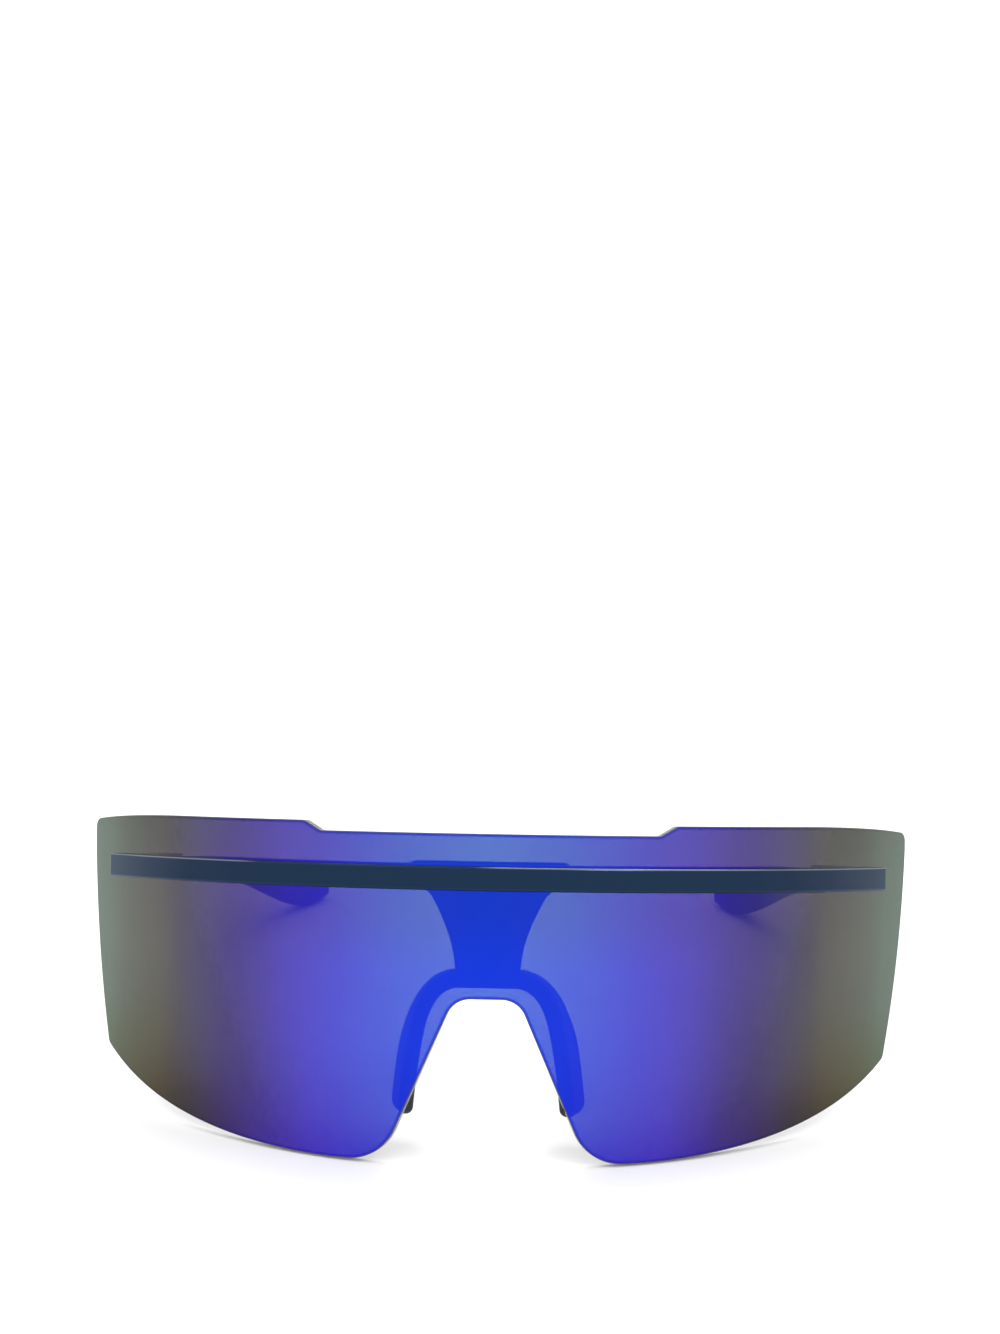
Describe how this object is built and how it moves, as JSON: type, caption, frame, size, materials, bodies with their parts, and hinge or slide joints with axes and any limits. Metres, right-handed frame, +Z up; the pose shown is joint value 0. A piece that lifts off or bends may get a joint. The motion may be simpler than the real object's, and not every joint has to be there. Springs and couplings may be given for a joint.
{
  "type": "wraparound sport sunglasses",
  "caption": "Wraparound shield sunglasses: a single curved mirror lens with a metal brow bar, rubber nose saddle and two folding temples, resting open on a table.",
  "frame": {"origin": "centre of the footprint on the table, with the glasses standing open on the two lens lobes and the two ear grips", "axes": "+Z up from the table, the lens's front towards -Y, the temples back along +Y, +X to the wearer's left"},
  "size_m": [0.1432, 0.16, 0.054],
  "materials": {
    "mirror_lens": "polished polycarbonate with a blue to violet mirror coating, part see-through",
    "bar_metal": "polished metal with a dark navy vapour-deposited coating",
    "rail_metal": "dark satin coating on sheet steel",
    "frame_nylon": "moulded nylon, fine satin texture",
    "temple_nylon": "moulded nylon, satin, very dark navy",
    "rubber": "soft matt rubber",
    "bush_nylon": "natural dark nylon",
    "hinge_metal": "tumbled stainless steel",
    "fastener_steel": "turned stainless steel",
    "wire_steel": "drawn steel wire"
  },
  "bodies": {
    "front": {"lens_shield": "mirror_lens", "brow_bar": "bar_metal", "rear_rail": "rail_metal", "lens_bushes": "bush_nylon", "bridge_plate": "frame_nylon", "bridge_screws": "fastener_steel", "nose_saddle": "rubber", "nose_wires": "wire_steel", "endpiece_left": "frame_nylon", "endpiece_right": "frame_nylon", "endpiece_screws_left": "fastener_steel", "endpiece_screws_right": "fastener_steel", "front_hinge_left": "hinge_metal", "front_hinge_right": "hinge_metal", "endpiece_rivets_left": "fastener_steel", "endpiece_rivets_right": "fastener_steel", "hinge_screw_left": "fastener_steel", "hinge_screw_right": "fastener_steel"},
    "left_temple": {"temple_left": "temple_nylon", "temple_hinge_left": "hinge_metal", "temple_rivets_left": "fastener_steel", "tip_wire_left": "wire_steel", "ear_grip_left": "rubber"},
    "right_temple": {"temple_right": "temple_nylon", "temple_hinge_right": "hinge_metal", "temple_rivets_right": "fastener_steel", "tip_wire_right": "wire_steel", "ear_grip_right": "rubber"}
  },
  "joints": [
    {"name": "left_temple_fold", "type": "hinge", "parent": "front", "child": "left_temple", "pos_m": [0.0607, -0.02864, 0.03599], "axis": [0, 0.2706, 0.9627], "range_deg": [0, 90]},
    {"name": "right_temple_fold", "type": "hinge", "parent": "front", "child": "right_temple", "pos_m": [-0.0607, -0.02864, 0.03599], "axis": [0, -0.2706, -0.9627], "range_deg": [0, 75]}
  ]
}
